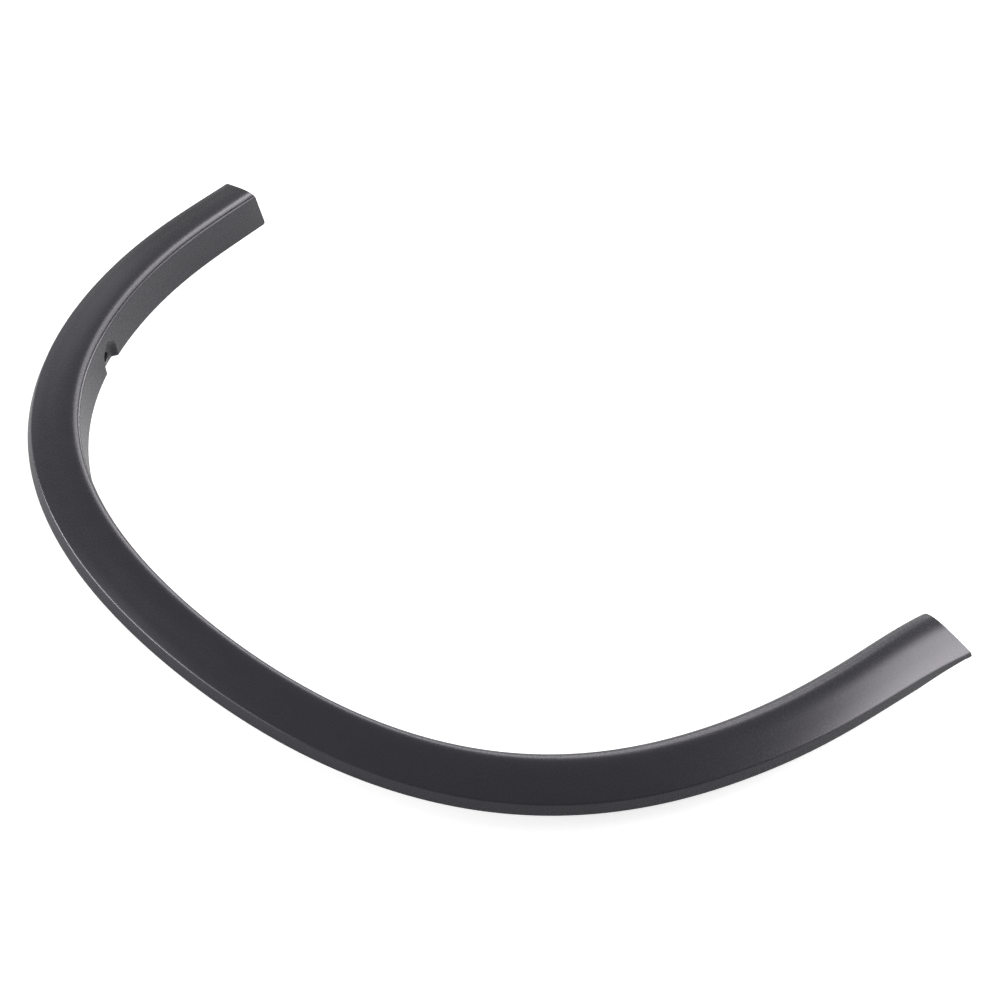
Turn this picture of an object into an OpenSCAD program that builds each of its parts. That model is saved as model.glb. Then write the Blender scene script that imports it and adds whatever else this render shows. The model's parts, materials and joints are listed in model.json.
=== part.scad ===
// Wheel arch trim: one moulded strip that follows the edge of a car's wheel opening.
// It lies face up. The crown of the arch points to +Y, the two legs run to -Y,
// and the car's outside is +Z. The foot of the inner flange rests on the ground plane.
// Lengths are in millimetres and angles in degrees.

/* [Arch line] */
// Radius of the flange foot over the crown of the arch
crown_r = 468; // [440:1:500]
// Radius of the flange foot round the two shoulders
shoulder_r = 250; // [235:1:275]
// Radius of the flange foot half way down a leg
leg_r = 571; // [500:1:700]
// Radius at the tips, where the legs bend slightly outwards
tip_r = 791; // [700:1:2000]
// Distance along the line from one of these radii to the next
radius_step = 220; // [210:1:230]
// Length of the line from the crown to the tip on the +X side
right_leg = 600; // [560:1:640]
// Length of the line from the crown to the tip on the -X side
left_leg = 649; // [600:0.5:655]

/* [Body side] */
// Radius of the body side along the car
length_bow_r = 3200; // [2400:10:9000]
// Radius of the body side from its lower to its upper edge
height_bow_r = 2580; // [2000:10:9000]
// Distance from the crown line down to the fullest point of the body side
bow_below_crown = 323; // [250:1:400]
// Angle from upright by which the flange leans towards the crown
side_lean = 12; // [0:0.5:15]

/* [Section] */
// Thickness of the moulded wall
wall = 2.5; // [2:0.1:3]
// Height of the inner flange, from its foot to the corner with the face
flange_h = 42; // [38:0.5:48]
// Distance that the flange slopes away from the wheel over its height
flange_in = 5; // [2:0.5:8]
// Width of the face at the +X tip, from the flange corner to the outer crease
face_w_right = 35; // [32:0.5:40]
// Width of the face at the -X tip
face_w_left = 42.5; // [38:0.5:50]
// Height that the face falls from the flange corner to the outer crease
face_drop = 10; // [6:0.5:14]
// Height of the crown of the face above a flat one
face_crown = 0.2; // [0:0.1:1]
// Distance below the flange corner where its curve starts, at the +X tip
roll_down_right = 8; // [6:0.1:10]
// The same distance over the crown
roll_down_crown = 6; // [5:0.1:10]
// The same distance at the -X tip
roll_down_left = 14.5; // [8:0.1:16]
// Distance beyond the flange corner where its curve runs out into the face
roll_over = 27; // [20:0.5:28]
// Radius of the outer crease
crease_r = 2.5; // [1.5:0.1:4]
// Height of the outer lip, from the crease to the body panel
lip_h = 9.5; // [8:0.1:12]
// Distance that the lip slopes outwards over its height
lip_out = 3.5; // [2:0.1:5]
// Thickness of the lip at its edge
lip_edge = 2; // [1.6:0.1:2.5]

/* [Tips] */
// Angle of the +X end cut seen from above, which leaves the outer edge longer
tip_plan_right = 8; // [0:1:15]
// Angle of the -X end cut seen from above
tip_plan_left = 12; // [0:1:15]
// Angle of the +X end cut seen along the face, which leaves the foot longer
tip_lean_right = 15; // [0:1:20]
// Angle of the -X end cut seen along the face
tip_lean_left = 8; // [0:1:20]
// Length over which the wall turns from square to the angle of the cut
tip_fade = 80; // [60:1:120]
// Radius of the flange's lower corners at the tips
corner_r = 3; // [2:0.5:5]
// Distance by which the flange corner moves towards the wheel before the -X tip
flare_in = 2; // [0:0.1:4]
// Length over which it moves
flare_in_l = 120; // [90:5:160]
// Distance by which the crease moves outwards before the -X tip
flare_out = 2.4; // [0:0.1:3]
// Length over which it moves
flare_out_l = 260; // [200:5:300]
// Distance that the lip still slopes outwards at the -X tip
lip_out_low = 1.9; // [1:0.1:3]
// Length over which the lip gets lower before the -X tip
lip_taper_l = 65; // [40:1:90]
// Height of the lip where that taper ends
lip_h_low = 3.6; // [3:0.1:6]
// Length of the flat tongue that takes the lip's place at the -X tip
tongue_l = 7; // [4:0.5:8]
// Distance that the tongue reaches past the crease
tongue_out = 3; // [2:0.1:4]
// Height that the tongue falls over that distance
tongue_drop = 1.2; // [0.8:0.1:2]

/* [Fixing recess] */
// Distance from the crown along the line to the middle of the recess, on the +X side
recess_at = 346; // [300:1:420]
// Width of the recess at the flange's foot
recess_w = 27.5; // [25:0.5:32]
// Depth of the recess
recess_depth = 4.5; // [3:0.1:6]
// Length of the sloping wall round the floor of the recess
recess_slope = 5.5; // [4.5:0.1:7]
// Height of the centre of the recess's round top above the foot
recess_arch_up = 12.5; // [10:0.5:14]
// Height of the hole's centre above the foot
hole_up = 7.2; // [6.5:0.1:9]
// Diameter of the hole for a screw or a push rivet
hole_d = 9; // [7:0.1:9.5]
// Width of the bevel round the hole
hole_bevel = 1; // [0.5:0.1:1.2]
// Height of the bevel
bevel_h = 0.7; // [0.4:0.1:1]
// Length of the hole behind the bevel
hole_l = 2.5; // [2:0.1:3]
// Diameter of the round pad behind the hole
pad_d = 14; // [12.5:0.1:14.4]

/* [Clip seats] */
// Number of seats for clips behind the face
seat_count = 7; // [4:1:9]
// Distance from each tip to the first seat's centre
seat_end = 62; // [50:1:90]
// Length of a seat along the trim
seat_l = 22; // [18:0.5:26]
// Depth of a seat across the trim
seat_w = 17; // [15:0.5:18]
// Distance from the flange corner to the middle of a seat
seat_in = 19; // [18:0.5:20]
// Clearance between the seat's plate and the body panel
seat_gap = 1; // [0.5:0.1:1.5]
// Thickness of the seat's plate
seat_plate = 2.4; // [2:0.1:3]
// Thickness of the seat's walls
seat_wall = 2; // [1.5:0.1:2.5]
// Width of the plate's slot, into which a clip's neck slides
slot_w = 7; // [6:0.1:9]

/* [Hidden] */

// Fineness of the shape
station_step = 15;
recess_step = 2.5;
taper_step = 13;
corner_steps = 3;
tongue_gap = 0.8;
line_panel = 10;
flange_rows = 8;
roll_rows = 7;
// A value over 1 puts more of the curve's points near the flange, where it is tight
roll_pace = 1.4;
face_rows = 2;
crease_rows = 3;
seat_rows = 3;
round_fn = 64;
row_share = 0.9;
flat_angle = 1;
least_r = 0.5;
past = 1;

// Curvatures at the crown, the shoulders, half way down the legs and at the tips
bends = [1 / crown_r, 1 / shoulder_r, 1 / leg_r, -1 / tip_r];
recess_top = recess_arch_up + recess_w / 2;
recess_t = -recess_at;
recess_zone = recess_w / 2 + recess_step;
draft = atan(flange_in / flange_h);
seat_base = flange_h - face_drop - lip_h + seat_gap;

function unit(v) = v / norm(v);
function mix(a, b, x) = a * (1 - x) + b * x;
function clamp01(x) = min(max(x, 0), 1);
// Half of a cosine wave, which goes smoothly from 0 to 1
function ease(x) = (1 - cos(180 * clamp01(x))) / 2;
function total(list) = [for (i = list) 1] * list;

// The foot line
// The angle that the line turns over the first d of a span, where its curvature eases from k0 to k1
function span_turn(k0, k1, d) =
    (k0 * d + (k1 - k0) * (d / 2 - radius_step / (2 * PI) * sin(180 * d / radius_step))) * 180 / PI;

function turn(d, n = 0) =
    n < len(bends) - 2 && d > radius_step
    ? span_turn(bends[n], bends[n + 1], radius_step) + turn(d - radius_step, n + 1)
    : span_turn(bends[n], bends[n + 1], d);

// Direction of the line at the distance t from the crown, negative on the +X side
function heading(t) = 180 + sign(t) * turn(abs(t));
function along(t) = [cos(heading(t)), sin(heading(t))];
function outward(t) = [sin(heading(t)), -cos(heading(t))];

// Simpson's rule over panels from the crown to t gives the point on the line
function line_point(t) =
    t == 0 ? [0, 0]
    : let (n = ceil(abs(t) / line_panel), h = t / n)
      total([for (i = [0:n - 1]) (along(i * h) + 4 * along((i + 0.5) * h) + along((i + 1) * h)) * h / 6]);

// Height of the body side at a point in plan
function bow(p) =
    -pow(p.x, 2) / (2 * length_bow_r) - pow(p.y + bow_below_crown, 2) / (2 * height_bow_r);
function bow_slope(p) = [-p.x / length_bow_r, -(p.y + bow_below_crown) / height_bow_r];

// The section, as points [distance outwards, height] above the foot line
function from_tip(t) = t < 0 ? t + right_leg : left_leg - t;
function face_w(t) = mix(face_w_right, face_w_left, (t + right_leg) / (right_leg + left_leg));
function face_dir(t) = unit([face_w(t), -face_drop]);
function roll_down(t) =
    t < 0 ? mix(roll_down_crown, roll_down_right, ease(-t / right_leg))
          : mix(roll_down_crown, roll_down_left, ease(t / left_leg));

// How far the flares of the -X leg have come at t, from 0 to 1, where they take the length l
function flare(t, l) = ease((t - left_leg + l) / l);

// How much of the tongue there is at t, from 0 to 1
function tongue(t) = clamp01((t - left_leg + tongue_l + tongue_gap) / tongue_gap);
function lip_height(t) =
    mix(lip_h, lip_h_low, clamp01((t - left_leg + lip_taper_l) / (lip_taper_l - tongue_l)));

function foot_corner() = [0, 0];
function roll_corner(t) =
    [flange_in, flange_h] - flare_in * flare(t, flare_in_l) * face_dir(t);
function crease_corner(t) =
    [flange_in + face_w(t), flange_h - face_drop] + flare_out * flare(t, flare_out_l) * face_dir(t);
function lip_reach(t) = mix(lip_out, lip_out_low, flare(t, flare_out_l));
function lip_foot(t) =
    crease_corner(t)
    + mix([lip_reach(t), -lip_height(t)], [tongue_out, -tongue_drop], tongue(t));
function lip_foot_in(t) = lip_foot(t) + mix([-lip_edge, 0], [0, -lip_edge], tongue(t));

// Half the angle at corner q between its neighbours p and r
function half_angle(p, q, r) = acos(unit(p - q) * unit(r - q)) / 2;
// The corner q moved to the hidden side by the wall's thickness
function inset(p, q, r) = q + unit(unit(p - q) + unit(r - q)) * wall / sin(half_angle(p, q, r));

// A curve that rounds the corner q. It starts at the distance a before the corner and ends at
// the distance b after it, so it is tighter on the side of the shorter distance
function corner_curve(p, q, r, a, b, rows) =
    [for (i = [0:rows]) let (w = pow(i / rows, roll_pace))
        q + pow(1 - w, 2) * a * unit(p - q) + pow(w, 2) * b * unit(r - q)];

// An arc of radius rad that rounds the corner q
function round_corner(p, q, r, rad, rows) =
    let (
        half = half_angle(p, q, r),
        centre = q + unit(unit(p - q) + unit(r - q)) * rad / sin(half),
        from = q + unit(p - q) * rad / tan(half) - centre,
        to = q + unit(r - q) * rad / tan(half) - centre,
        sweep = max(180 - 2 * half, flat_angle)
    )
    [for (i = [0:rows]) let (w = i / rows)
        centre + (sin((1 - w) * sweep) * from + sin(w * sweep) * to) / sin(sweep)];

// The face between the two rounded corners, with its crown
function face_points(p, q) =
    let (d = q - p, n = unit([-d.y, d.x]))
    [for (i = [1:face_rows - 1]) let (w = i / face_rows) p + d * w + n * face_crown * 4 * w * (1 - w)];

// How far the recess pushes the flange outwards
function recess_push(t, z) =
    let (rho = norm([t - recess_t, max(0, z - recess_arch_up)]))
    recess_depth * ease((recess_w / 2 - rho) / recess_slope);

// Height of the flange's edge, which rises in the rounded corners at the tips
function foot_rise(t) =
    let (d = max(0, corner_r - from_tip(t)))
    corner_r - sqrt(pow(corner_r, 2) - pow(d, 2));

// Height where the curve of the flange corner starts
function roll_start(t) = roll_corner(t).y - roll_down(t) * cos(draft);

function flange_points(t, shift) =
    let (
        low = foot_rise(t),
        top = min(recess_top, row_share * roll_start(t)),
        slope = roll_corner(t).x / roll_corner(t).y
    )
    [for (i = [0:flange_rows]) let (z = mix(low, top, i / flange_rows))
        [slope * z + shift + recess_push(t, z), z]];

function outer_skin(t) =
    let (
        q = roll_corner(t),
        k = crease_corner(t),
        roll = corner_curve(foot_corner(), q, k, roll_down(t), roll_over, roll_rows),
        crease = round_corner(q, k, lip_foot(t), crease_r, crease_rows)
    )
    concat(flange_points(t, 0), roll, face_points(roll[roll_rows], crease[0]), crease, [lip_foot(t)]);

function inner_skin(t) =
    let (
        foot = [wall / cos(draft), 0],
        q = inset(foot_corner(), roll_corner(t), crease_corner(t)),
        k = inset(roll_corner(t), crease_corner(t), lip_foot(t)),
        // Both ends of the curve lie nearer to its own corner on the hidden side
        nearer = wall / tan(half_angle(foot_corner(), roll_corner(t), crease_corner(t))),
        roll = corner_curve(foot, q, k, roll_down(t) - nearer, roll_over - nearer, roll_rows),
        crease = round_corner(q, k, lip_foot_in(t), max(crease_r - wall, least_r), crease_rows)
    )
    concat(
        flange_points(t, wall / cos(draft)), roll, face_points(roll[roll_rows], crease[0]), crease,
        [lip_foot_in(t)]
    );

// The moulding: rings of points at stations along the line
// Distance that a point of the section slides along the line for the end cuts
function tip_slide(t, q) =
    let (
        middle = [(face_w_right + face_w_left) / 4, flange_h / 2],
        lean = t < 0 ? tip_lean_right : tip_lean_left,
        plan = t < 0 ? tip_plan_right : tip_plan_left
    )
    (t < 0 ? 1 : -1) * clamp01(1 - from_tip(t) / tip_fade)
    * (tan(lean) * (q.y - middle.y) - tan(plan) * (q.x - middle.x));

// The place of a point q of the section at t
function place(t, q, p) =
    let (g = p + outward(t) * q.x + along(t) * tip_slide(t, q))
    [g.x, g.y + q.y * tan(side_lean), bow(g) + q.y];

function ring(t) =
    let (p = line_point(t), inner = inner_skin(t), last = len(inner) - 1)
    [
        for (q = outer_skin(t)) place(t, q, p),
        for (i = [last:-1:0]) place(t, inner[i], p)
    ];

// Values from a up to b, without b, at most step apart
function spaced(a, b, step) =
    let (n = max(1, ceil((b - a) / step)))
    [for (i = [0:n - 1]) a + (b - a) * i / n];

stations = concat(
    spaced(-right_leg, corner_r - right_leg, corner_r / corner_steps),
    spaced(corner_r - right_leg, recess_t - recess_zone, station_step),
    spaced(recess_t - recess_zone, recess_t + recess_zone, recess_step),
    spaced(recess_t + recess_zone, left_leg - lip_taper_l, station_step),
    spaced(left_leg - lip_taper_l, left_leg - tongue_l - tongue_gap, taper_step),
    [left_leg - tongue_l - tongue_gap],
    spaced(left_leg - tongue_l, left_leg - corner_r, tongue_l),
    spaced(left_leg - corner_r, left_leg, corner_r / corner_steps),
    [left_leg]
);

rings = [for (t = stations) ring(t)];
cloud = [for (r = rings) each r];
low = [for (i = [0:2]) min([for (p = cloud) p[i]])];
high = [for (i = [0:2]) max([for (p = cloud) p[i]])];
// The origin lies under the middle of the trim, on the ground plane
origin = [(low.x + high.x) / 2, (low.y + high.y) / 2, low.z];

// The rings' points joined into one closed skin, with a strip of wall closing each tip
module moulding() {
    size = len(rings[0]);
    half = size / 2;
    last = (len(rings) - 1) * size;
    sides = [
        for (i = [0:len(rings) - 2]) for (j = [0:size - 1])
            let (a = i * size + j, b = i * size + (j + 1) % size)
            each [[a, a + size, b], [b, a + size, b + size]]
    ];
    tips = [
        for (j = [0:half - 2]) let (a = j, b = j + 1, c = size - 1 - j, d = size - 2 - j)
            each [
                [a, b, c], [b, d, c],
                [last + a, last + c, last + b], [last + b, last + c, last + d]
            ]
    ];
    polyhedron(points = cloud, faces = concat(sides, tips));
}

// Puts a thing at the point q of the section, square to the body side there, with its own X
// outwards and its own Y along the line
module at_line(t, q) {
    p = line_point(t);
    slope = bow_slope(p + outward(t) * q.x);
    translate(place(t, q, p))
        rotate([atan(slope.y), -atan(slope.x), 0])
            rotate([0, 0, heading(t) - 90])
                children();
}

// A seat that holds a push clip: a plate with a slot on three walls, open towards the flange
module clip_seat(t) {
    fall = face_drop / face_w(t);
    // Distance that the corner's curve lies below the face, at the distance d from the corner
    function curve_sink(d) = roll_down(t) * pow(1 - sqrt(min(d / roll_over, 1)), 2);
    // Height of the middle of the face's wall over the seat, at the distance x from its middle
    function seat_top(x) =
        flange_h - seat_base - wall / 2 - fall * (seat_in + x) - curve_sink(seat_in + x);
    side = [
        [-seat_w / 2, 0],
        [seat_w / 2, 0],
        for (i = [seat_rows:-1:0]) let (x = seat_w * (i / seat_rows - 1 / 2)) [x, seat_top(x)]
    ];
    at_line(t, [flange_in + seat_in, seat_base])
        difference() {
            rotate([90, 0, 0])
                linear_extrude(seat_l, center = true)
                    polygon(side);
            translate([-seat_w / 2 - past, seat_wall - seat_l / 2, seat_plate])
                cube([seat_w - seat_wall + past, seat_l - 2 * seat_wall, flange_h]);
            translate([0, 0, -past])
                cylinder(h = seat_plate + 2 * past, d = slot_w, $fn = round_fn);
            translate([-seat_w / 2 - past, -slot_w / 2, -past])
                cube([seat_w / 2 + past, slot_w, seat_plate + 2 * past]);
        }
}

// The fixing hole, square to the recess's floor
hole_u = flange_in * hole_up / flange_h + recess_depth;
hole_point = place(recess_t, [hole_u, hole_up], line_point(recess_t));
// Two directions in the floor of the recess give the hole's axis, which points outwards
hole_along = let (a = along(recess_t)) [a.x, a.y, bow_slope(hole_point) * a];
hole_rise =
    let (a = outward(recess_t) * flange_in / flange_h)
    [a.x, a.y + tan(side_lean), 1 + bow_slope(hole_point) * a];
hole_axis = unit(cross(hole_along, hole_rise));

module on_hole() {
    translate(hole_point)
        rotate([0, acos(hole_axis.z), atan2(hole_axis.y, hole_axis.x)])
            children();
}

module hole_pad() {
    on_hole()
        translate([0, 0, wall / 2])
            cylinder(h = bevel_h + hole_l - wall / 2, d = pad_d, $fn = round_fn);
}

module hole_cut() {
    on_hole() {
        translate([0, 0, -recess_depth])
            cylinder(h = 3 * recess_depth, d = hole_d, $fn = round_fn);
        cylinder(h = bevel_h, d1 = hole_d + 2 * hole_bevel, d2 = hole_d, $fn = round_fn);
        translate([0, 0, -recess_depth / 2])
            cylinder(h = recess_depth / 2, d = hole_d + 2 * hole_bevel, $fn = round_fn);
    }
}

module arch_moulding() {
    first = seat_end - right_leg;
    span = right_leg + left_leg - 2 * seat_end;
    color([0.22, 0.22, 0.23])
        translate(-origin)
            difference() {
                union() {
                    moulding();
                    hole_pad();
                    for (i = [0:seat_count - 1])
                        clip_seat(first + span * i / (seat_count - 1));
                }
                hole_cut();
            }
}

arch_moulding();
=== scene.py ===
# %% [markdown]
# # A wheel arch trim, dressed over its CAD part
#
# The part is one plastic moulding, about 0.8 m across, that covers the edge of a car's wheel
# opening. The CAD part already has its true form and size. Here that form is built again as a
# finer mesh, because light runs along the long smooth surfaces and would show the CAD's flat
# triangles. Then the moulding gets its plastic, and a studio gives it light.
#
# Blender works in metres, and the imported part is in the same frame, so nothing has to be fitted.

import json
import math

import bmesh
import bpy
from mathutils import Matrix, Vector


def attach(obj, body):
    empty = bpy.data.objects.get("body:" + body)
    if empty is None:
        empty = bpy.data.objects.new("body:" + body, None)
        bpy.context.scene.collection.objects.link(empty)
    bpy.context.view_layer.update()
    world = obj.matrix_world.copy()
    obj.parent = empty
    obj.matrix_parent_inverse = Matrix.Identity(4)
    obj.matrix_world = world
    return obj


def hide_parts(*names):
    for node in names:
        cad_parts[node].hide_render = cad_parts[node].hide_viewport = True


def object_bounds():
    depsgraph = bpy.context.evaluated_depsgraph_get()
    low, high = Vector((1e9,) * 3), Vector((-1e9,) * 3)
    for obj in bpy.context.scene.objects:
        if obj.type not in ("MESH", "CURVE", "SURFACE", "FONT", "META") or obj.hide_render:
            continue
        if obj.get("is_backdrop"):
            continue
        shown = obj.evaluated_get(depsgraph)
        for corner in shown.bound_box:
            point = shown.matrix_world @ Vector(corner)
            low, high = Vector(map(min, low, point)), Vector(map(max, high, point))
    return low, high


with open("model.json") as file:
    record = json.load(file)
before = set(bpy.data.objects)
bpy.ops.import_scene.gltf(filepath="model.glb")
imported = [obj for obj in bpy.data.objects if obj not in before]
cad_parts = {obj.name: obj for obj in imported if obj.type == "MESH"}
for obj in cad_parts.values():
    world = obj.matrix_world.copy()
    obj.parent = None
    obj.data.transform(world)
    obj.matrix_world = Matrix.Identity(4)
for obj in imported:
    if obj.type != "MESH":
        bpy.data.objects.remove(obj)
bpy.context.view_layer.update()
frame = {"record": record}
MM = 0.001

# %% [markdown]
# ## The camera comes first
#
# A picture can only be compared with a photograph from the same place. The camera stands about
# two metres away, above the crown of the arch, and looks back along the legs. A lens of 86 mm
# on a 36 mm sensor is a usual choice for products, because it bends straight lines very little.
# The camera is rolled by some degrees, since the trim lay at a slant in the photograph.

# %% The camera
# The starting point of the arch's own drawing. It lies in its plane of symmetry, just above the
# crown of the flange's foot, and the rest of the trim is laid out from it.
CROWN = Vector((8.863, 200.755, 22.578)) * MM
EYE = CROWN + Vector((-739.18, 989.16, 1292.47)) * MM
AIM = CROWN + Vector((-40.38, -278.57, 0.0)) * MM
CAMERA_ROLL = math.radians(-15.481)


def look(eye, aim, roll):
    """A rotation that looks from eye to aim, with the picture turned by roll."""
    forward = (aim - eye).normalized()
    level = forward.cross(Vector((0, 0, 1))).normalized()
    upright = level.cross(forward)
    right = math.cos(roll) * level - math.sin(roll) * upright
    up = right.cross(forward)
    return Matrix((right, up, -forward)).transposed().to_4x4()


lens = bpy.data.cameras.new("camera")
lens.sensor_width = 36
lens.lens = 86.4
camera = bpy.data.objects.new("camera", lens)
camera.matrix_world = Matrix.Translation(EYE) @ look(EYE, AIM, CAMERA_ROLL)
bpy.context.scene.collection.objects.link(camera)
bpy.context.scene.camera = camera
print("camera stands", round((EYE - AIM).length, 3), "m from what it looks at")

# %% [markdown]
# ## Formulas as nodes
#
# The trim has no straight piece in it, yet every point of it follows a rule: a foot line that
# bends from radius to radius, a section that changes slowly along it, and a body side that is
# bowed. Geometry Nodes can hold such a rule, but a tree of several hundred Math nodes is hard to
# draw by hand. So a small class lets Python write it: adding two fields adds a Math node.

# %% Fields that can be added and multiplied
def calc(operation, *values):
    """Adds a Math node for the values, fields or plain numbers, and gives its result."""
    tree = next(v.socket.id_data for v in values if isinstance(v, Field))
    node = tree.nodes.new("ShaderNodeMath")
    node.operation = operation
    for socket, value in zip(node.inputs, values):
        connect(socket, value)
    return Field(node.outputs[0])


def connect(socket, value):
    """Sends a field, or a plain value, into a socket."""
    if isinstance(value, Field):
        socket.id_data.links.new(value.socket, socket)
    else:
        socket.default_value = value


class Field:
    """A number that nodes work out for each point."""

    def __init__(self, socket):
        self.socket = socket

    def __add__(self, other):
        return calc("ADD", self, other)

    def __sub__(self, other):
        return calc("SUBTRACT", self, other)

    def __mul__(self, other):
        return calc("MULTIPLY", self, other)

    def __truediv__(self, other):
        return calc("DIVIDE", self, other)

    def __radd__(self, other):
        return calc("ADD", other, self)

    def __rsub__(self, other):
        return calc("SUBTRACT", other, self)

    def __rtruediv__(self, other):
        return calc("DIVIDE", other, self)

    def __neg__(self):
        return calc("MULTIPLY", self, -1.0)


# %% A few helpers in the same spirit
def sin(x):
    return calc("SINE", x)


def cos(x):
    return calc("COSINE", x)


def root(x):
    return calc("SQRT", x)


def clamp(x):
    """x held between 0 and 1."""
    return calc("MINIMUM", calc("MAXIMUM", x, 0.0), 1.0)


def ease(x):
    """Half a cosine wave, which goes gently from 0 to 1 as x does."""
    return (1.0 - cos(clamp(x) * math.pi)) * 0.5


def mix(a, b, x):
    """a where x is 0, b where x is 1, and a blend between."""
    return a * (1.0 - x) + b * x


# %% Nodes and trees
def new_node(tree, kind, **settings):
    """Adds a node to the tree, with its settings."""
    node = tree.nodes.new(kind)
    for name, value in settings.items():
        setattr(node, name, value)
    return node


def new_tree(name, inputs):
    """A Geometry Nodes tree with one named input for each size, and those inputs as fields."""
    tree = bpy.data.node_groups.new(name, "GeometryNodeTree")
    tree.is_modifier = True
    tree.interface.new_socket("Geometry", in_out="INPUT", socket_type="NodeSocketGeometry")
    tree.interface.new_socket("Geometry", in_out="OUTPUT", socket_type="NodeSocketGeometry")
    for title, value in inputs.items():
        socket = tree.interface.new_socket(title, in_out="INPUT", socket_type="NodeSocketFloat")
        socket.default_value = value
    start = tree.nodes.new("NodeGroupInput")
    end = tree.nodes.new("NodeGroupOutput")
    fields = {title: Field(start.outputs[title]) for title in inputs}
    return tree, start.outputs["Geometry"], end.inputs["Geometry"], fields


def finish_tree(tree, geometry, result, material):
    """Turns instances into real mesh, gives it the material and ends the tree."""
    realize = new_node(tree, "GeometryNodeRealizeInstances")
    finish = new_node(tree, "GeometryNodeSetMaterial")
    finish.inputs["Material"].default_value = material
    tree.links.new(geometry, realize.inputs[0])
    tree.links.new(realize.outputs[0], finish.inputs["Geometry"])
    tree.links.new(finish.outputs[0], result)


# %% From modifiers to a plain mesh
def bake(name, mesh, *makers):
    """The plain mesh that a mesh becomes under modifiers, each of which a function adds."""
    carrier = bpy.data.objects.new(name + "_carrier", mesh)
    bpy.context.scene.collection.objects.link(carrier)
    for maker in makers:
        maker(carrier)
    graph = bpy.context.evaluated_depsgraph_get()
    made = bpy.data.meshes.new_from_object(carrier.evaluated_get(graph), depsgraph=graph)
    carrier.modifiers.clear()
    bpy.data.objects.remove(carrier)
    made.name = name
    return made


def run_tree(name, mesh, tree, inputs):
    """The plain mesh that the tree makes from a mesh, with each input set by its identifier."""
    def add_tree(carrier):
        modifier = carrier.modifiers.new(name, "NODES")
        modifier.node_group = tree
        for item in tree.interface.items_tree:
            if item.item_type == "SOCKET" and item.in_out == "INPUT" and item.name in inputs:
                modifier[item.identifier] = inputs[item.name]

    return bake(name, mesh, add_tree)


# %% [markdown]
# ## The foot line
#
# The edge of the wheel opening isn't a circle: it is flatter over the crown, tighter round the
# shoulders, nearly straight down the legs, and its tips turn outwards a little. A designer draws
# that with a curvature that eases from one value to the next. The direction of the line is then
# known exactly at each distance from the crown, and adding up short steps in that direction
# gives the line itself. That adding up is what Accumulate Field does.

# %% Sizes of the line
LINE = {
    "crown radius": 468 * MM,
    "shoulder radius": 250 * MM,
    "leg radius": 571 * MM,
    "tip radius": 791 * MM,
    "radius step": 220 * MM,
}
RIGHT, LEFT = 600 * MM, 649 * MM
RECESS_AT, RECESS_HALF = -346 * MM, 16 * MM
TONGUE, TONGUE_GAP, TIP_CORNER = 7 * MM, 0.8 * MM, 3 * MM
SEAT_COUNT, SEAT_FROM_TIP = 7, 62 * MM
seat_span = RIGHT + LEFT - 2 * SEAT_FROM_TIP
SEATS = [-RIGHT + SEAT_FROM_TIP + seat_span * i / (SEAT_COUNT - 1) for i in range(SEAT_COUNT)]


# %% Stations along the line
def spaced(start, stop, step):
    """Distances from start up to stop, without stop, at most step apart."""
    rounding_error = 1e-6
    count = max(1, math.ceil((stop - start) / step - rounding_error))
    return [start + (stop - start) * i / count for i in range(count)]


# Where each stretch starts, and the most that its stations are apart, in mm. They are close where
# the form turns quickly: at the tips, round the recess and at the tongue.
marks = [
    (-RIGHT, 0.6), (-RIGHT + TIP_CORNER, 2.5),
    (RECESS_AT - RECESS_HALF, 0.75), (RECESS_AT + RECESS_HALF, 2.5), (0.0, 2.5),
    (LEFT - TONGUE - TONGUE_GAP, 0.8), (LEFT - TONGUE, 1.0), (LEFT - TIP_CORNER, 0.6), (LEFT, 0),
]
stations = [d for (a, step), (b, _) in zip(marks, marks[1:]) for d in spaced(a, b, step * MM)]
stations = sorted(stations + [LEFT])
for seat in SEATS:
    nearest = min(range(len(stations)), key=lambda i: abs(stations[i] - seat))
    stations[nearest] = seat
print(len(stations), "stations along the line")

# %% The tree of the foot line
tree, geometry, result, size = new_tree("foot line", LINE)


def turn(distance):
    """The angle that the line has turned at a distance from the crown."""
    bends = [1.0 / size["crown radius"], 1.0 / size["shoulder radius"],
             1.0 / size["leg radius"], -1.0 / size["tip radius"]]
    step = size["radius step"]
    angle = distance * 0.0
    for i in range(len(bends) - 1):
        d = calc("MINIMUM", calc("MAXIMUM", distance - step * float(i), 0.0), step)
        wave = step / (2 * math.pi) * sin(d * math.pi / step)
        angle = angle + bends[i] * d + (bends[i + 1] - bends[i]) * (d * 0.5 - wave)
    return angle


# At the crown the line runs towards -X, and it turns the other way on the other side.
position = new_node(tree, "GeometryNodeInputPosition")
axes = new_node(tree, "ShaderNodeSeparateXYZ")
tree.links.new(position.outputs[0], axes.inputs[0])
along_line = Field(axes.outputs["X"])
heading = math.pi + calc("SIGN", along_line) * turn(calc("ABSOLUTE", along_line))
index = Field(new_node(tree, "GeometryNodeInputIndex").outputs[0])
before = calc("MAXIMUM", index - 1.0, 0.0)


def at_index(value, where):
    """The value that a field has at another point."""
    node = new_node(tree, "GeometryNodeFieldAtIndex", data_type="FLOAT", domain="POINT")
    connect(node.inputs["Value"], value)
    connect(node.inputs["Index"], where)
    return Field(node.outputs[0])


def add_up(value):
    """The sum of a field over all the points up to this one."""
    node = new_node(tree, "GeometryNodeAccumulateField", data_type="FLOAT", domain="POINT")
    connect(node.inputs["Value"], value)
    return Field(node.outputs["Leading"])


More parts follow.
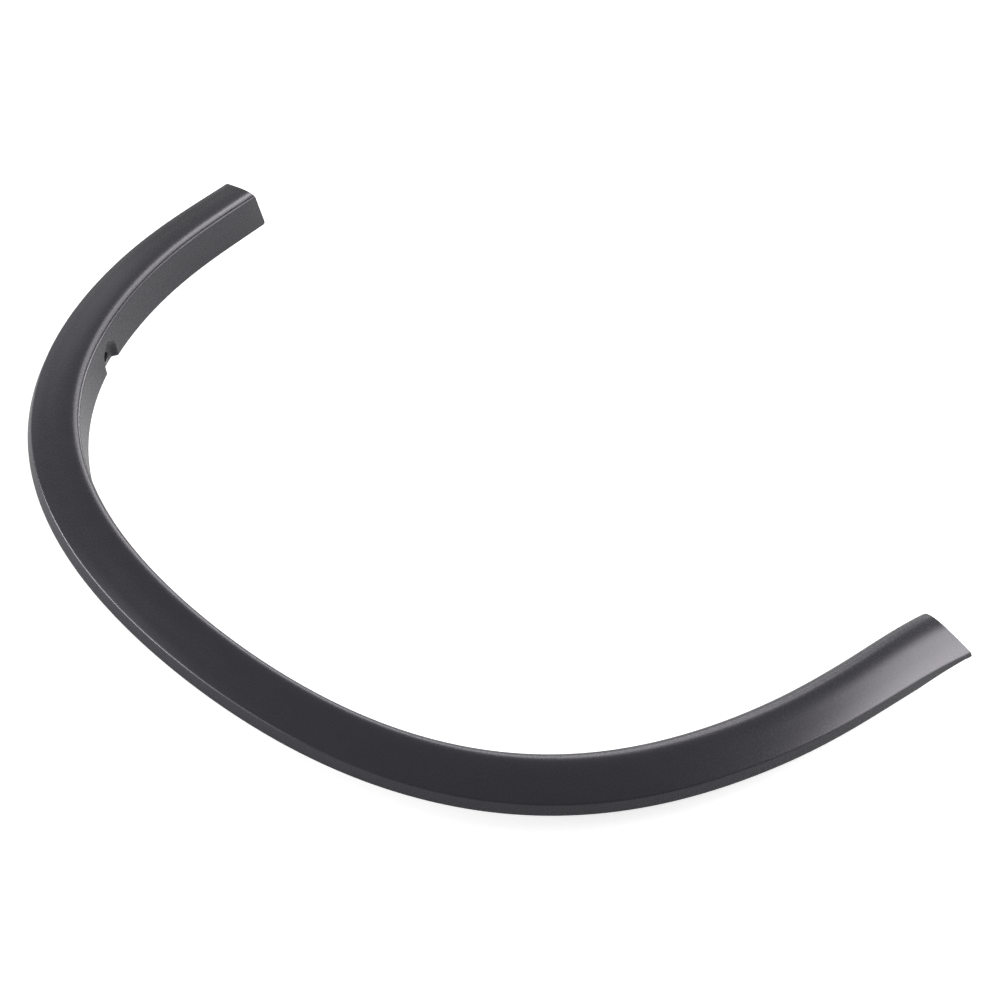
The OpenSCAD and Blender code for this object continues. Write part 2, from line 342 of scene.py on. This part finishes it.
step = along_line - at_index(along_line, before)
run_x = add_up((cos(heading) + at_index(cos(heading), before)) * 0.5 * step)
run_y = add_up((sin(heading) + at_index(sin(heading), before)) * 0.5 * step)
crown_index = float(stations.index(0.0))
place_x = run_x - at_index(run_x, along_line * 0.0 + crown_index)
place_y = run_y - at_index(run_y, along_line * 0.0 + crown_index)


def store(geometry, name, value):
    """Keeps a field on the points as a named attribute."""
    node = new_node(tree, "GeometryNodeStoreNamedAttribute", data_type="FLOAT", domain="POINT")
    node.inputs["Name"].default_value = name
    tree.links.new(geometry, node.inputs["Geometry"])
    connect(node.inputs["Value"], value)
    return node.outputs["Geometry"]


for name, value in (("distance", along_line), ("heading", heading),
                    ("foot_x", place_x), ("foot_y", place_y)):
    geometry = store(geometry, name, value)
tree.links.new(geometry, result)

# %% Run it
line_mesh = bpy.data.meshes.new("foot_line")
neighbours = [(i, i + 1) for i in range(len(stations) - 1)]
line_mesh.from_pydata([(d, 0, 0) for d in stations], neighbours, [])
line_mesh = run_tree("foot_line", line_mesh, tree, LINE)
foot = {name: [item.value for item in line_mesh.attributes[name].data]
        for name in ("distance", "heading", "foot_x", "foot_y")}
tips = [round(foot[key][i] / MM, 1) for i in (0, -1) for key in ("foot_x", "foot_y")]
print("tips of the foot line:", tips)

# %% [markdown]
# ## The moulding
#
# The section is drawn as four corners: the flange's foot, the inner corner, the outer crease and
# the lip's foot. The crease is rounded by a small arc. The inner corner is wide and is rounded by
# an eased curve, tighter at the flange than on the face, because a plain arc would show a hard
# line where its reflection stops. A grid has one column for each station and one row for each
# point of the section, and every grid point is sent to its place by formula: first its place in
# the section, then outwards from the foot line, then up onto the bowed side of the car.

# %% Sizes of the section
SECTION = {
    "right leg": RIGHT,
    "left leg": LEFT,
    "length bow radius": 3200 * MM,
    "height bow radius": 2580 * MM,
    "bow below crown": 323 * MM,
    "side lean": math.tan(math.radians(12)),
    "flange height": 42 * MM,
    "flange slope": 5 * MM,
    "face width right": 35 * MM,
    "face width left": 42.5 * MM,
    "face drop": 10 * MM,
    "face crown": 0.2 * MM,
    "corner down right": 8 * MM,
    "corner down crown": 6 * MM,
    "corner down left": 14.5 * MM,
    "corner over": 27 * MM,
    "crease radius": 2.5 * MM,
    "lip height": 9.5 * MM,
    "lip slope": 3.5 * MM,
    "tip plan right": math.tan(math.radians(8)),
    "tip plan left": math.tan(math.radians(12)),
    "tip lean right": math.tan(math.radians(15)),
    "tip lean left": math.tan(math.radians(8)),
    "tip fade": 80 * MM,
    "tip corner": TIP_CORNER,
    "flare in": 2 * MM,
    "flare in length": 120 * MM,
    "flare out": 2.4 * MM,
    "flare out length": 260 * MM,
    "tip lip slope": 1.9 * MM,
    "taper length": 65 * MM,
    "taper lip": 3.6 * MM,
    "tongue length": TONGUE,
    "tongue reach": 1.7 * MM,
    "tongue drop": 4.6 * MM,
    "tongue gap": TONGUE_GAP,
    "tongue corner": 2.5 * MM,
    "recess at": RECESS_AT,
    "recess width": 27.5 * MM,
    "recess depth": 4.5 * MM,
    "recess slope": 5.5 * MM,
    "recess arch": 9 * MM,
    "recess ease": 0.8,
}
# Faces in each stretch of the section, from the flange's foot to the lip's.
FLANGE, ROLL, FACE, CREASE, LIP = 28, 22, 3, 8, 3
ROWS = FLANGE + ROLL + FACE + CREASE + LIP + 1
print(ROWS, "points across the section")

# %% The grid, and what each of its points reads from the foot line
tree, geometry, result, size = new_tree("moulding", SECTION)
grid = new_node(tree, "GeometryNodeMeshGrid")
grid.inputs["Vertices X"].default_value = len(stations)
grid.inputs["Vertices Y"].default_value = ROWS
index = Field(new_node(tree, "GeometryNodeInputIndex").outputs[0])
column = calc("FLOOR", (index + 0.5) / float(ROWS))
row = index - column * float(ROWS)


def from_line(name):
    """A value of the foot line, read at this point's column."""
    named = new_node(tree, "GeometryNodeInputNamedAttribute", data_type="FLOAT")
    named.inputs["Name"].default_value = name
    sample = new_node(tree, "GeometryNodeSampleIndex", data_type="FLOAT", domain="POINT")
    tree.links.new(geometry, sample.inputs["Geometry"])
    tree.links.new(named.outputs[0], sample.inputs["Value"])
    connect(sample.inputs["Index"], column)
    return Field(sample.outputs[0])


t, heading = from_line("distance"), from_line("heading")
foot_x, foot_y = from_line("foot_x"), from_line("foot_y")
from_tip = calc("MINIMUM", t + size["right leg"], size["left leg"] - t)


def part_way(first, count):
    """How far the row is through a stretch of the section, from 0 to 1."""
    return clamp((row - float(first)) / float(count))


# %% Sizes that change along the trim
near_tip = t - size["left leg"] + size["taper length"]
taper = near_tip / (size["taper length"] - size["tongue length"])
past_gap = t - size["left leg"] + size["tongue length"] + size["tongue gap"]
tongue = clamp(past_gap / size["tongue gap"])
cut_off = clamp(1.0 - (size["left leg"] - t) / size["tongue corner"])
cut_away = size["tongue corner"] * (1.0 - root(1.0 - cut_off * cut_off)) * 0.5
tongue_drop = size["tongue drop"] - cut_away
width = mix(size["face width right"], size["face width left"],
            (t + size["right leg"]) / (size["right leg"] + size["left leg"]))
lip_drop = mix(size["lip height"], size["taper lip"], clamp(taper))
at_crown = size["corner down crown"]
corner_down = (at_crown
               + (size["corner down right"] - at_crown) * ease(-t / size["right leg"])
               + (size["corner down left"] - at_crown) * ease(t / size["left leg"]))


# %% Points of the section as pairs of fields
def plus(a, b):
    return a[0] + b[0], a[1] + b[1]


def minus(a, b):
    return a[0] - b[0], a[1] - b[1]


def times(a, k):
    return a[0] * k, a[1] * k


def unit(a):
    length = root(a[0] * a[0] + a[1] * a[1])
    return a[0] / length, a[1] / length


# %% The four corners of the section
def flare(length):
    """How far the left leg has flared: 0 at a length from its tip, and 1 at the tip."""
    return ease((t - size["left leg"] + length) / length)


outwards = flare(size["flare out length"])
down_face = unit((width, -size["face drop"]))
flat_corner = (size["flange slope"], size["flange height"])
foot_at = (t * 0.0, t * 0.0)
inner_at = minus(flat_corner, times(down_face, size["flare in"] * flare(size["flare in length"])))
face_end = plus(flat_corner, (width, -size["face drop"]))
crease_at = plus(face_end, times(down_face, size["flare out"] * outwards))
lip_out = mix(size["lip slope"], size["tip lip slope"], outwards)
lip_way = (mix(lip_out, size["tongue reach"], tongue), -mix(lip_drop, tongue_drop, tongue))
lip_at = plus(crease_at, lip_way)


# %% Two ways to round a corner
# Above 1, the points of the curve stand closer at its start, where it bends most.
CROWDING = 1.4


def eased_corner(p, q, r, down, over, share):
    """The start, the end and the point at share of a curve, tighter before q than after it."""
    back, ahead = times(unit(minus(p, q)), down), times(unit(minus(r, q)), over)
    gone = calc("POWER", share, CROWDING)
    left = 1.0 - gone
    here = plus(q, plus(times(back, left * left), times(ahead, gone * gone)))
    return plus(q, back), plus(q, ahead), here


def rounded(p, q, r, radius, share):
    """The start, the end and the point at share of an arc that rounds corner q."""
    back, ahead = unit(minus(p, q)), unit(minus(r, q))
    half = calc("ARCCOSINE", back[0] * ahead[0] + back[1] * ahead[1]) * 0.5
    sweep = math.pi - half * 2.0
    reach = radius / calc("TANGENT", half)
    centre = plus(q, times(unit(plus(back, ahead)), radius / sin(half)))
    start, end = plus(q, times(back, reach)), plus(q, times(ahead, reach))
    a, b = minus(start, centre), minus(end, centre)
    swing = plus(times(a, sin((1.0 - share) * sweep)), times(b, sin(share * sweep)))
    return start, end, plus(centre, times(swing, 1.0 / sin(sweep)))


# %% The corners, rounded
roll_start, roll_end, roll = eased_corner(
    foot_at, inner_at, crease_at, corner_down, size["corner over"], part_way(FLANGE, ROLL))
crease_start, crease_end, crease = rounded(
    inner_at, crease_at, lip_at, size["crease radius"], part_way(FLANGE + ROLL + FACE, CREASE))

# %% The flange and the recess
# The flange's foot is rounded off at both tips. The recess is a dent in the flange with soft
# sides, upright up to its arch and round above it.
short = calc("MAXIMUM", size["tip corner"] - from_tip, 0.0)
low = size["tip corner"] - root(size["tip corner"] * size["tip corner"] - short * short)
height = mix(low, roll_start[1], part_way(0, FLANGE))
above = calc("MAXIMUM", height - size["recess arch"], 0.0) * size["recess ease"]
reach = root((t - size["recess at"]) * (t - size["recess at"]) + above * above)
push = size["recess depth"] * ease((size["recess width"] * 0.5 - reach) / size["recess slope"])
flange = (inner_at[0] * height / inner_at[1] + push, height)

# %% The face and the lip
# The face has a very low crown across its width, which is a parabola.
face_share = part_way(FLANGE + ROLL, FACE)
face = minus(crease_start, roll_end)
arch = size["face crown"] * 4.0 * face_share * (1.0 - face_share)
across = unit(face)
face_step = plus(times(face, face_share), (-across[1] * arch, across[0] * arch))
lip_step = times(minus(lip_at, crease_end), part_way(FLANGE + ROLL + FACE + CREASE, LIP))

# %% Adding the stretches up
# Each stretch starts where the last one ends, so the point is the flange's, plus the way gone
# round the corner, over the face, round the crease and down the lip.
u, z = plus(flange, minus(roll, roll_start))
u, z = plus((u, z), face_step)
u, z = plus((u, z), minus(crease, crease_start))
u, z = plus((u, z), lip_step)

# %% From the section to the car's side
def bowed(x, below):
    """The height of the car's side, x to a side and below the top of its bow."""
    return (x * x / size["length bow radius"] + below * below / size["height bow radius"]) * -0.5


# The ends are cut at a slant, so points near a tip slide along the line by their place in the
# section, and the slide fades out away from the tip.
middle_u = (size["face width right"] + size["face width left"]) * 0.25
on_left = clamp(t * (1.0 / MM))
lean = mix(size["tip lean right"], size["tip lean left"], on_left)
plan = mix(size["tip plan right"], size["tip plan left"], on_left)
slide = (calc("SIGN", t) * -1.0 * clamp(1.0 - from_tip / size["tip fade"])
         * (lean * (z - size["flange height"] * 0.5) - plan * (u - middle_u)))
x = foot_x + sin(heading) * u + cos(heading) * slide
y = foot_y - cos(heading) * u + sin(heading) * slide
bow = bowed(x, y + size["bow below crown"])
point = new_node(tree, "ShaderNodeCombineXYZ")
for socket, value in zip(point.inputs, (x, y + size["side lean"] * z, bow + z)):
    connect(socket, value)

# %% The end of the tree
moved = new_node(tree, "GeometryNodeSetPosition")
tree.links.new(grid.outputs["Mesh"], moved.inputs["Geometry"])
tree.links.new(point.outputs[0], moved.inputs["Position"])
plastic = bpy.data.materials.new("charcoal_plastic")
finish_tree(tree, moved.outputs[0], result, plastic)
skin = run_tree("skin", line_mesh.copy(), tree, SECTION)
print(len(tree.nodes), "nodes made", len(skin.vertices), "points and", len(skin.polygons), "faces")

# %% [markdown]
# ## From the source's origin to the part's
#
# The trim is drawn from the crown of the arch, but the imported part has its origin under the
# middle of its box. So the skin is moved to where the crown is in the part's frame.

# %% Move the skin into the part's frame
skin.transform(Matrix.Translation(CROWN))

# %% [markdown]
# ## A wall from a skin
#
# An injection moulding is a wall of even thickness, about 2.5 mm here. Solidify gives the skin
# that wall, on its hidden side. A real mould also leaves no razor edges, so a small Bevel rounds
# the edges of the wall, and they catch a thin line of light.

# %% Wall and edges
WALL, EDGE, EDGE_FROM = 2.5 * MM, 0.4 * MM, math.radians(50)


def wall(carrier):
    """Gives the skin its thickness, towards the hidden side."""
    solid = carrier.modifiers.new("wall", "SOLIDIFY")
    solid.thickness = WALL
    solid.offset = -1
    solid.use_even_offset = True


def edges(carrier):
    """Rounds the edges where two faces meet at more than EDGE_FROM."""
    bevel = carrier.modifiers.new("edges", "BEVEL")
    bevel.width = EDGE
    bevel.segments = 2
    bevel.use_clamp_overlap = False
    bevel.loop_slide = False
    bevel.limit_method = "ANGLE"
    bevel.angle_limit = EDGE_FROM


up_side = sum(1 for face in skin.polygons if face.normal.z > 0)
if up_side < len(skin.polygons) / 2:
    skin.flip_normals()
walled = bake("walled", skin, wall, edges)
print("the walled moulding has", len(walled.polygons), "faces")

# %% [markdown]
# ## The screw hole
#
# The hole goes square through the floor of the recess, so the record's mount says where it is
# and which way it points. Cutting with a Boolean is the natural way: a cylinder for the hole, and
# a short cone for its bevel. Behind it the moulding has a round pad, which takes the screw's load.

# %% Turned shapes along the hole's axis
hole = next(m for m in frame["record"]["mounts"] if m["name"] == "screw_hole")
hole_way = -Vector(hole["axis"]).normalized()
HOLE_R = hole["dims"]["r_mm"]
# The mount lies inside the bore, so the recess's floor is this far above it, in mm.
MOUNT_DEPTH = 1.95
floor_at = Vector(hole["pos_m"]) - hole_way * MOUNT_DEPTH * MM
# Outlines of (radius, depth) points in mm, the depth counted from the recess's floor: the hole
# with its cone, and the pad behind it.
HOLE_OUTLINE = [(HOLE_R + 1, -3), (HOLE_R + 1, 0), (HOLE_R, 0.7), (HOLE_R, 6)]
PAD_OUTLINE = [(HOLE_R, 1.6), (7, 1.6), (7, 4.7), (6.7, 5), (HOLE_R, 5), (HOLE_R, 1.6)]
print("the screw hole is", 2 * HOLE_R, "mm wide")


def turned(name, outline, sides=64):
    """A solid turned about the hole's axis, or a ring where the outline is closed."""
    spin = hole_way.to_track_quat("Z", "Y").to_matrix().to_4x4()
    place = Matrix.Translation(floor_at) @ spin
    shape = bmesh.new()
    angles = [2 * math.pi * i / sides for i in range(sides)]
    rings = []
    for r, depth in outline:
        circle = [(r * MM * math.cos(a), r * MM * math.sin(a), depth * MM) for a in angles]
        rings.append([shape.verts.new(place @ Vector(spot)) for spot in circle])
    closed = outline[0] == outline[-1]
    if closed:
        rings[-1] = rings[0]
    for one, two in zip(rings, rings[1:]):
        for i in range(sides):
            j = (i + 1) % sides
            shape.faces.new((one[i], one[j], two[j], two[i]))
    if not closed:
        shape.faces.new(rings[0][::-1])
        shape.faces.new(rings[-1])
    bmesh.ops.delete(shape, geom=[v for v in shape.verts if not v.link_faces], context="VERTS")
    bmesh.ops.recalc_face_normals(shape, faces=shape.faces[:])
    mesh = bpy.data.meshes.new(name)
    shape.to_mesh(mesh)
    shape.free()
    return mesh


# %% Drill the hole
cutter = bpy.data.objects.new("hole_cutter", turned("hole_cutter", HOLE_OUTLINE))
cutter.data.materials.append(plastic)
bpy.context.scene.collection.objects.link(cutter)


def drilled(carrier):
    """Takes the cutter's shape out of the wall."""
    cut = carrier.modifiers.new("hole", "BOOLEAN")
    cut.operation = "DIFFERENCE"
    cut.solver = "MANIFOLD"
    cut.object = cutter


body = bake("arch_moulding_skin", walled, drilled)
bpy.data.objects.remove(cutter)
print("after drilling:", len(body.polygons), "faces")

# %% Smooth shading, but not across real edges
def finished(name, mesh, angle=32):
    """An object of the mesh with smooth shading that stops at its real edges."""
    mesh.polygons.foreach_set("use_smooth", [True] * len(mesh.polygons))
    mesh.set_sharp_from_angle(angle=math.radians(angle))
    mesh.materials.clear()
    mesh.materials.append(plastic)
    mesh.polygons.foreach_set("material_index", [0] * len(mesh.polygons))
    piece = bpy.data.objects.new(name, mesh)
    bpy.context.scene.collection.objects.link(piece)
    return piece


moulding = finished("arch_moulding_skin", body)
pad = finished("hole_pad", turned("hole_pad", PAD_OUTLINE))

# %% [markdown]
# ## Clip seats
#
# Behind the face sits a row of small seats, each a slotted plate on three thin walls. A push clip
# slides into the slot before the trim is pressed onto the car. They all have the same form, so
# one seat is built, and Geometry Nodes put a copy of it at each marked station of the foot line,
# square to the body side there.

# %% Sizes of a seat, in mm
# The plate and its slot, and the ribs that carry it.
HALF_W, HALF_L, SLOT, PLATE, RIB = 8.5, 11.0, 3.5, 2.4, 2
# The plate's place, outwards and up from the flange's foot.
SEAT_OUT, SEAT_UP = 24, 23.5
# The face over it, as it is midway along the trim: its inner corner, its fall and half its wall.
CORNER_OUT, CORNER_UP, CORNER_DOWN, CORNER_OVER = 5, 42, 9, 27
FACE_FALL, HALF_WALL = 0.256, 1.25


# %% One seat
def prism(shape, outline, low, high):
    """Adds an upright prism on an outline. low and high give its heights at a point."""
    count = len(outline)
    bottom = [shape.verts.new(Vector((px, py, low(px))) * MM) for px, py in outline]
    top = [shape.verts.new(Vector((px, py, high(px))) * MM) for px, py in outline]
    shape.faces.new(bottom[::-1])
    shape.faces.new(top)
    for i in range(count):
        j = (i + 1) % count
        shape.faces.new((bottom[i], bottom[j], top[j], top[i]))


def under_face(px):
    """The height over the plate's underside where a rib ends, inside the face's wall."""
    past_corner = SEAT_OUT - CORNER_OUT + px
    rounding = CORNER_DOWN * (1 - min(past_corner / CORNER_OVER, 1) ** 0.5) ** 2
    return CORNER_UP - SEAT_UP - HALF_WALL - FACE_FALL * past_corner - rounding


ARC = 16
half_turn = [math.pi / 2 - math.pi * i / ARC for i in range(ARC + 1)]
slot_end = [(SLOT * math.cos(a), SLOT * math.sin(a)) for a in half_turn]
plate_line = [(-HALF_W, SLOT)] + slot_end + [
    (-HALF_W, -SLOT), (-HALF_W, -HALF_L), (HALF_W, -HALF_L), (HALF_W, HALF_L), (-HALF_W, HALF_L)]
inside_w, inside_l = HALF_W - RIB, HALF_L - RIB
rib_line = [
    (-HALF_W, -HALF_L), (HALF_W, -HALF_L), (HALF_W, HALF_L), (-HALF_W, HALF_L),
    (-HALF_W, inside_l), (inside_w, inside_l), (inside_w, -inside_l), (-HALF_W, -inside_l)]
shape = bmesh.new()
prism(shape, plate_line, lambda px: 0.0, lambda px: PLATE)
prism(shape, rib_line, lambda px: PLATE, under_face)
bmesh.ops.recalc_face_normals(shape, faces=shape.faces[:])
seat_mesh = bpy.data.meshes.new("seat")
shape.to_mesh(seat_mesh)
shape.free()
seat = bpy.data.objects.new("seat", seat_mesh)
bpy.context.scene.collection.objects.link(seat)

# %% The tree that sets the seats out
SIDE = ("length bow radius", "height bow radius", "bow below crown", "side lean")
SEAT = {key: SECTION[key] for key in SIDE}
SEAT.update({"seat outwards": SEAT_OUT * MM, "seat height": SEAT_UP * MM})
SAME_PLACE = 0.01 * MM
marked = line_mesh.copy()
flags = marked.attributes.new("seat", "BOOLEAN", "POINT")
is_seat = [any(abs(d - seat_at) < SAME_PLACE for seat_at in SEATS) for d in foot["distance"]]
flags.data.foreach_set("value", is_seat)

tree, geometry, result, size = new_tree("clip seats", SEAT)


def named(name, kind="FLOAT"):
    """A named attribute of the points, as a field."""
    node = new_node(tree, "GeometryNodeInputNamedAttribute", data_type=kind)
    node.inputs["Name"].default_value = name
    return Field(node.outputs[0])


heading = named("heading")
gx = named("foot_x") + sin(heading) * size["seat outwards"]
gy = named("foot_y") - cos(heading) * size["seat outwards"]
below = gy + size["bow below crown"]
slope_x, slope_y = gx / size["length bow radius"] * -1.0, below / size["height bow radius"] * -1.0
seat_place = (gx, gy + size["side lean"] * size["seat height"],
              bowed(gx, below) + size["seat height"])
spot = new_node(tree, "ShaderNodeCombineXYZ")
for socket, value in zip(spot.inputs, seat_place):
    connect(socket, value)

# %% Turning and instancing
points = new_node(tree, "GeometryNodeMeshToPoints")
tree.links.new(geometry, points.inputs["Mesh"])
connect(points.inputs["Selection"], named("seat", "BOOLEAN"))
tree.links.new(spot.outputs[0], points.inputs["Position"])
plan_turn = new_node(tree, "ShaderNodeCombineXYZ")
connect(plan_turn.inputs["Z"], heading - math.pi / 2)
tilt = new_node(tree, "ShaderNodeCombineXYZ")
connect(tilt.inputs["X"], calc("ARCTANGENT", slope_y))
connect(tilt.inputs["Y"], calc("ARCTANGENT", slope_x) * -1.0)
turns = new_node(tree, "FunctionNodeRotateRotation", rotation_space="GLOBAL")
tree.links.new(plan_turn.outputs[0], turns.inputs["Rotation"])
tree.links.new(tilt.outputs[0], turns.inputs["Rotate By"])
picked = new_node(tree, "GeometryNodeObjectInfo")
picked.inputs["Object"].default_value = seat
copies = new_node(tree, "GeometryNodeInstanceOnPoints")
tree.links.new(points.outputs[0], copies.inputs["Points"])
tree.links.new(picked.outputs["Geometry"], copies.inputs["Instance"])
tree.links.new(turns.outputs[0], copies.inputs["Rotation"])
finish_tree(tree, copies.outputs[0], result, plastic)
seat_row = run_tree("clip_seats", marked, tree, SEAT)
seat_row.transform(Matrix.Translation(CROWN))
bpy.data.objects.remove(seat)
clip_seats = finished("clip_seats", seat_row)
print("seats:", len(seat_row.vertices), "points")

# %% [markdown]
# ## The plastic
#
# The trim is moulded in a charcoal plastic and isn't painted. Its surface is satin: a very fine
# grain from the mould scatters the gloss a little. So the colour is nearly even, the roughness
# varies slightly, and a fine bump breaks up the reflections. All of it reads Object coordinates,
# which are in metres here, so the grain keeps its size.

# %% The plastic's nodes
DARK, PALE = (0.025, 0.025, 0.029, 1), (0.031, 0.031, 0.036, 1)
# The gloss has a trace of violet, as the greys of the photograph have.
GLOSS = (0.965, 0.91, 1.0, 1)
SMOOTHEST, ROUGHEST = 0.255, 0.285
# Noise scales, for patches of about 17, 2 and 1 mm.
CLOUDS, SATIN, GRAIN = 60.0, 500.0, 900.0
GRAIN_DEPTH = 0.02 * MM

plastic.use_nodes = True
nodes, links = plastic.node_tree.nodes, plastic.node_tree.links
shader = nodes["Principled BSDF"]
shader.inputs["IOR"].default_value = 1.5
shader.inputs["Specular Tint"].default_value = GLOSS
coordinates = nodes.new("ShaderNodeTexCoord")


def noise(scale, detail):
    """A noise of about 0.3 to 0.7, on coordinates that are fixed to the piece."""
    node = nodes.new("ShaderNodeTexNoise")
    node.inputs["Scale"].default_value = scale
    node.inputs["Detail"].default_value = detail
    links.new(coordinates.outputs["Object"], node.inputs["Vector"])
    return node.outputs["Fac"]


def spread(value, low, high, to_low, to_high):
    """Maps a value's range, low to high, onto another range."""
    node = nodes.new("ShaderNodeMapRange")
    for socket, number in zip(list(node.inputs)[1:5], (low, high, to_low, to_high)):
        socket.default_value = number
    links.new(value, node.inputs[0])
    return node.outputs[0]


shade = nodes.new("ShaderNodeMix")
shade.data_type = "RGBA"
shade.inputs["A"].default_value = DARK
shade.inputs["B"].default_value = PALE
links.new(noise(CLOUDS, 3.0), shade.inputs["Factor"])
links.new(shade.outputs["Result"], shader.inputs["Base Color"])
satin = spread(noise(SATIN, 2.0), 0.3, 0.7, SMOOTHEST, ROUGHEST)
links.new(satin, shader.inputs["Roughness"])
bump = nodes.new("ShaderNodeBump")
bump.inputs["Strength"].default_value = 0.2
bump.inputs["Distance"].default_value = GRAIN_DEPTH
links.new(noise(GRAIN, 2.0), bump.inputs["Height"])
links.new(bump.outputs["Normal"], shader.inputs["Normal"])

# %% [markdown]
# ## The studio
#
# A dark, satin surface shows mostly what it reflects. So the lamps here are large and soft, and
# where they stand decides which parts of the trim are pale and which are dark. Light adds up, so
# such a set can be found by trial: each softbox is rendered alone, the pictures are added in
# different amounts, and the amounts that come nearest to the wanted tones become the powers.

# %% The floor
# The paper glows for the camera alone, so it looks white and sends no more light to the trim.
FLOOR_REACH, PAPER, PAPER_GLOW = 14.0, (0.82, 0.82, 0.82, 1), 0.72
corners = [(-1, -1), (1, -1), (1, 1), (-1, 1)]
floor_mesh = bpy.data.meshes.new("floor")
floor_mesh.from_pydata([(x * FLOOR_REACH, y * FLOOR_REACH, 0) for x, y in corners], [],
                       [(0, 1, 2, 3)])
floor = bpy.data.objects.new("floor", floor_mesh)
bpy.context.scene.collection.objects.link(floor)
paper = bpy.data.materials.new("floor_paper")
paper.use_nodes = True
nodes, links = paper.node_tree.nodes, paper.node_tree.links
paper_shader = nodes["Principled BSDF"]
paper_shader.inputs["Base Color"].default_value = PAPER
paper_shader.inputs["Roughness"].default_value = 0.9
paper_shader.inputs["Specular IOR Level"].default_value = 0.0
ray = nodes.new("ShaderNodeLightPath")
glow = nodes.new("ShaderNodeMath")
glow.operation = "MULTIPLY"
glow.inputs[1].default_value = PAPER_GLOW
links.new(ray.outputs["Is Camera Ray"], glow.inputs[0])
paper_shader.inputs["Emission Color"].default_value = (1, 1, 1, 1)
links.new(glow.outputs[0], paper_shader.inputs["Emission Strength"])
floor_mesh.materials.append(paper)
floor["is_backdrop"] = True

# %% The world
# The camera sees a white world, and the trim gets a weak even light from it.
WORLD_LIGHT, WORLD_SEEN = 0.24, 1.0
world = bpy.data.worlds.new("studio")
bpy.context.scene.world = world
world.use_nodes = True
nodes, links = world.node_tree.nodes, world.node_tree.links
background = nodes["Background"]
background.inputs["Color"].default_value = (1, 1, 1, 1)
seen = nodes.new("ShaderNodeLightPath")
brightness = nodes.new("ShaderNodeMapRange")
brightness.inputs["To Min"].default_value = WORLD_LIGHT
brightness.inputs["To Max"].default_value = WORLD_SEEN
links.new(seen.outputs["Is Camera Ray"], brightness.inputs["Value"])
links.new(brightness.outputs["Result"], background.inputs["Strength"])


# %% The lamps
# For each: bearing and height in degrees, width and length in metres, and power in watts.
LAMPS = {
    "back_floor": (222, 8, 1.6, 0.8, 10.1),
    "back_wide": (232, 26, 1.9, 1.3, 38.7),
    "back_high": (237, 35, 1.1, 0.75, 13.6),
    "far_low": (272, 10, 1.5, 0.9, 31.8),
    "far_left": (300, 12, 1.2, 0.9, 3.6),
    "far_middle": (292, 41, 0.8, 0.5, 8),
    "far_high": (306, 30, 0.8, 0.5, 9.5),
    "far_top": (312, 40, 0.8, 0.5, 8),
    "right": (345, 16, 1.5, 1.2, 3),
    "side_top": (40, 46, 1.2, 1.0, 6.5),
    "front_low": (45, 12, 2.6, 0.9, 99.4),
    "front_left": (75, 16, 1.5, 1.2, 16.9),
}
DISTANCE = 3.0


def lamp(name, bearing, height, width, length, power):
    """A softbox that looks at the trim from a bearing and a height, both in degrees."""
    data = bpy.data.lights.new(name, "AREA")
    data.shape = "RECTANGLE"
    data.size, data.size_y, data.energy = width, length, power
    light = bpy.data.objects.new(name, data)
    flat, up = math.radians(bearing), math.radians(height)
    way = Vector((math.cos(flat) * math.cos(up), math.sin(flat) * math.cos(up), math.sin(up)))
    facing = (-way).to_track_quat("-Z", "Y").to_matrix().to_4x4()
    light.matrix_world = Matrix.Translation(way * DISTANCE) @ facing
    bpy.context.scene.collection.objects.link(light)


for name, values in LAMPS.items():
    lamp(name, *values)
print(len(LAMPS), "lamps of", round(sum(values[-1] for values in LAMPS.values())), "W together")

# %% [markdown]
# ## Bodies, view and the trim's box
#
# A trim has no joints, so the imported part has one body, "root", and every new piece rides on it.
# The skin stands for the CAD solid, which stays hidden and keeps its work in collision. The view
# transform is Standard, because it shows a colour as it was set. Last, the box of the dressed trim
# is printed.

# %% View settings, bodies and the trim's box
scene = bpy.context.scene
scene.view_settings.view_transform = "Standard"
for piece in (moulding, pad, clip_seats):
    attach(piece, "root")
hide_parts("arch_moulding")
low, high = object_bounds()
print("visual box:", [round(size / MM, 1) for size in high - low], "mm")
